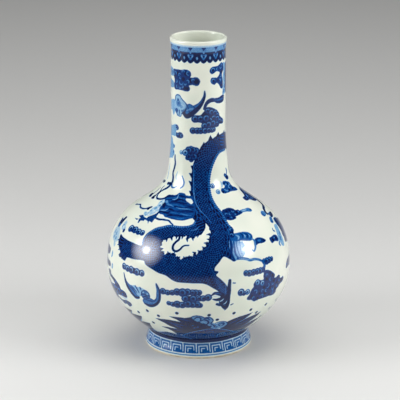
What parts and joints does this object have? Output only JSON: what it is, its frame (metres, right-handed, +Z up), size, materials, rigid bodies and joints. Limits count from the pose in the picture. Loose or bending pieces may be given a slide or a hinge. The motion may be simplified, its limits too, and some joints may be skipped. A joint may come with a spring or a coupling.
{
  "type": "bottle vase",
  "caption": "Blue and white porcelain bottle vase with a globular belly, long straight neck, rolled lip and foot ring.",
  "frame": {"origin": "on the vase's axis, in the plane that the foot ring stands on", "axes": "+Z up along the axis; the side with the dragon's head faces -Y, +X is to its right"},
  "size_m": [0.2264, 0.2264, 0.39],
  "materials": {
    "painted_glaze": "clear glaze over white porcelain, painted in cobalt blue under the glaze",
    "bare_slip": "fired white slip in the seams, dry and unglazed"
  },
  "bodies": {
    "root": {"foot_ring": "painted_glaze", "foot_luting_slip": "bare_slip", "lower_body": "painted_glaze", "belly_luting_slip": "bare_slip", "upper_body": "painted_glaze", "neck_luting_slip": "bare_slip", "neck": "painted_glaze"}
  },
  "joints": []
}
